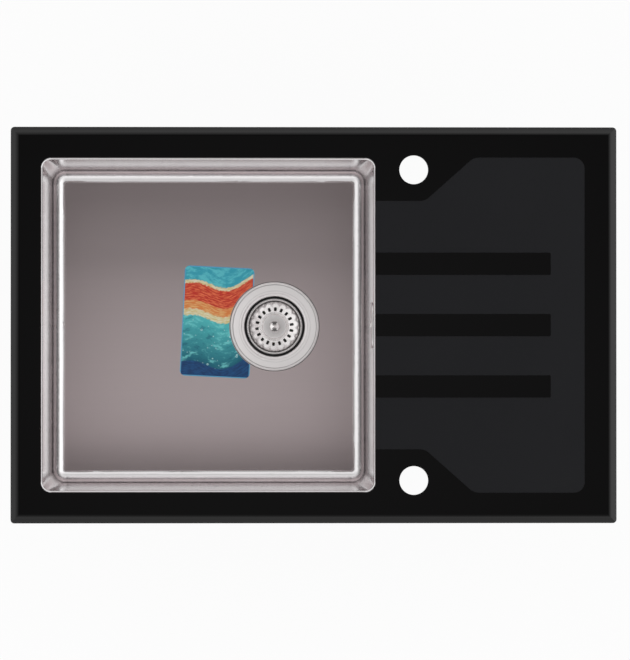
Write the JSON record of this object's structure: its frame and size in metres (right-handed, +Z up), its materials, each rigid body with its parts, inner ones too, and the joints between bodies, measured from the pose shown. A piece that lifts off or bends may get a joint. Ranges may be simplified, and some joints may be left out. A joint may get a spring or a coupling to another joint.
{
  "type": "kitchen sink",
  "caption": "Inset kitchen sink with a black glass deck, a square steel bowl, a drainer with raised bars, a basket strainer waste, an overflow and worktop clamps.",
  "frame": {"origin": "centre of the deck's outline, at the underside of the glass, over the middle of the worktop cut-out", "axes": "+X from the bowl to the drainer, +Y to the back, +Z up"},
  "size_m": [0.78, 0.51, 0.2872],
  "materials": {
    "black_glass": "polished black toughened glass with an etched matt drainer field",
    "foam_seal": "closed-cell foam strip",
    "bowl_steel": "brushed stainless steel",
    "silicone": "cured silicone bead",
    "frame_steel": "galvanised sheet",
    "zinc": "bright zinc plate",
    "claw_zinc": "yellow zinc plate",
    "strainer_steel": "polished stainless steel",
    "basket_steel": "satin stainless steel",
    "seal_rubber": "moulded rubber",
    "white_plastic": "moulded polypropylene",
    "grey_plastic": "extruded polypropylene",
    "brass": "machined brass",
    "pad": "bitumen sheet",
    "card": "coated card with a printed pattern"
  },
  "bodies": {
    "sink": {"glass_deck": "black_glass", "worktop_seal": "foam_seal", "bowl": "bowl_steel", "bowl_bond": "silicone", "back_rail": "frame_steel", "front_rail": "frame_steel", "left_rail": "frame_steel", "right_rail": "frame_steel", "drainer_channel_1": "frame_steel", "drainer_channel_2": "frame_steel", "rail_bond": "silicone", "clamp_brackets": "frame_steel", "clamp_nuts": "zinc", "strainer_flange": "strainer_steel", "flange_gasket": "seal_rubber", "waste_gasket": "seal_rubber", "waste_body": "white_plastic", "waste_spigot": "white_plastic", "waste_insert": "brass", "waste_screw": "strainer_steel", "overflow_cover": "strainer_steel", "overflow_screw": "strainer_steel", "overflow_gasket": "seal_rubber", "overflow_head": "white_plastic", "overflow_pipe": "grey_plastic", "upper_pipe_nut": "white_plastic", "lower_pipe_nut": "white_plastic", "upper_pipe_seal": "seal_rubber", "lower_pipe_seal": "seal_rubber", "left_sound_pad": "pad", "back_sound_pad": "pad", "front_sound_pad": "pad", "floor_sound_pad": "pad", "earth_tag": "frame_steel", "care_card": "card"},
    "basket": {"basket_dish": "basket_steel", "basket_seal": "seal_rubber", "basket_knob": "strainer_steel", "basket_stem": "strainer_steel", "basket_grip": "seal_rubber"},
    "clamp_1_washer": {"clamp_washer_1": "zinc"},
    "clamp_1_screw": {"clamp_screw_1": "zinc"},
    "clamp_1_claw": {"clamp_claw_1": "claw_zinc"},
    "clamp_2_washer": {"clamp_washer_2": "zinc"},
    "clamp_2_screw": {"clamp_screw_2": "zinc"},
    "clamp_2_claw": {"clamp_claw_2": "claw_zinc"},
    "clamp_3_washer": {"clamp_washer_3": "zinc"},
    "clamp_3_screw": {"clamp_screw_3": "zinc"},
    "clamp_3_claw": {"clamp_claw_3": "claw_zinc"},
    "clamp_4_washer": {"clamp_washer_4": "zinc"},
    "clamp_4_screw": {"clamp_screw_4": "zinc"},
    "clamp_4_claw": {"clamp_claw_4": "claw_zinc"},
    "clamp_5_washer": {"clamp_washer_5": "zinc"},
    "clamp_5_screw": {"clamp_screw_5": "zinc"},
    "clamp_5_claw": {"clamp_claw_5": "claw_zinc"},
    "clamp_6_washer": {"clamp_washer_6": "zinc"},
    "clamp_6_screw": {"clamp_screw_6": "zinc"},
    "clamp_6_claw": {"clamp_claw_6": "claw_zinc"}
  },
  "joints": [
    {"name": "basket_lift", "type": "slide", "parent": "sink", "child": "basket", "axis": [0, 0, 1], "range_m": [0, 0.25]},
    {"name": "clamp_1_climb", "type": "slide", "parent": "sink", "child": "clamp_1_washer", "axis": [0, 0, 1], "range_m": [0, 0.014]},
    {"name": "clamp_1_turn", "type": "hinge", "parent": "clamp_1_washer", "child": "clamp_1_screw", "pos_m": [-0.3, 0.2392, -0.063], "axis": [0, 0, 1], "range_deg": [0, 5045]},
    {"name": "clamp_1_swivel", "type": "hinge", "parent": "clamp_1_washer", "child": "clamp_1_claw", "pos_m": [-0.3, 0.2392, -0.063], "axis": [0, 0, 1], "range_deg": [0, 90]},
    {"name": "clamp_2_climb", "type": "slide", "parent": "sink", "child": "clamp_2_washer", "axis": [0, 0, 1], "range_m": [0, 0.014]},
    {"name": "clamp_2_turn", "type": "hinge", "parent": "clamp_2_washer", "child": "clamp_2_screw", "pos_m": [0, 0.2392, -0.063], "axis": [0, 0, 1], "range_deg": [0, 5045]},
    {"name": "clamp_2_swivel", "type": "hinge", "parent": "clamp_2_washer", "child": "clamp_2_claw", "pos_m": [0, 0.2392, -0.063], "axis": [0, 0, 1], "range_deg": [0, 90]},
    {"name": "clamp_3_climb", "type": "slide", "parent": "sink", "child": "clamp_3_washer", "axis": [0, 0, 1], "range_m": [0, 0.014]},
    {"name": "clamp_3_turn", "type": "hinge", "parent": "clamp_3_washer", "child": "clamp_3_screw", "pos_m": [0.3, 0.2392, -0.063], "axis": [0, 0, 1], "range_deg": [0, 5045]},
    {"name": "clamp_3_swivel", "type": "hinge", "parent": "clamp_3_washer", "child": "clamp_3_claw", "pos_m": [0.3, 0.2392, -0.063], "axis": [0, 0, 1], "range_deg": [0, 90]},
    {"name": "clamp_4_climb", "type": "slide", "parent": "sink", "child": "clamp_4_washer", "axis": [0, 0, 1], "range_m": [0, 0.014]},
    {"name": "clamp_4_turn", "type": "hinge", "parent": "clamp_4_washer", "child": "clamp_4_screw", "pos_m": [0.3, -0.2392, -0.063], "axis": [0, 0, 1], "range_deg": [0, 5045]},
    {"name": "clamp_4_swivel", "type": "hinge", "parent": "clamp_4_washer", "child": "clamp_4_claw", "pos_m": [0.3, -0.2392, -0.063], "axis": [0, 0, 1], "range_deg": [0, 90]},
    {"name": "clamp_5_climb", "type": "slide", "parent": "sink", "child": "clamp_5_washer", "axis": [0, 0, 1], "range_m": [0, 0.014]},
    {"name": "clamp_5_turn", "type": "hinge", "parent": "clamp_5_washer", "child": "clamp_5_screw", "pos_m": [0, -0.2392, -0.063], "axis": [0, 0, 1], "range_deg": [0, 5045]},
    {"name": "clamp_5_swivel", "type": "hinge", "parent": "clamp_5_washer", "child": "clamp_5_claw", "pos_m": [0, -0.2392, -0.063], "axis": [0, 0, 1], "range_deg": [0, 90]},
    {"name": "clamp_6_climb", "type": "slide", "parent": "sink", "child": "clamp_6_washer", "axis": [0, 0, 1], "range_m": [0, 0.014]},
    {"name": "clamp_6_turn", "type": "hinge", "parent": "clamp_6_washer", "child": "clamp_6_screw", "pos_m": [-0.3, -0.2392, -0.063], "axis": [0, 0, 1], "range_deg": [0, 5045]},
    {"name": "clamp_6_swivel", "type": "hinge", "parent": "clamp_6_washer", "child": "clamp_6_claw", "pos_m": [-0.3, -0.2392, -0.063], "axis": [0, 0, 1], "range_deg": [0, 90]}
  ],
  "couplings": [
    {"joint": "clamp_1_turn", "follows": "clamp_1_climb", "rad_per_m": 6283.2},
    {"joint": "clamp_2_turn", "follows": "clamp_2_climb", "rad_per_m": 6283.2},
    {"joint": "clamp_3_turn", "follows": "clamp_3_climb", "rad_per_m": 6283.2},
    {"joint": "clamp_4_turn", "follows": "clamp_4_climb", "rad_per_m": 6283.2},
    {"joint": "clamp_5_turn", "follows": "clamp_5_climb", "rad_per_m": 6283.2},
    {"joint": "clamp_6_turn", "follows": "clamp_6_climb", "rad_per_m": 6283.2}
  ]
}
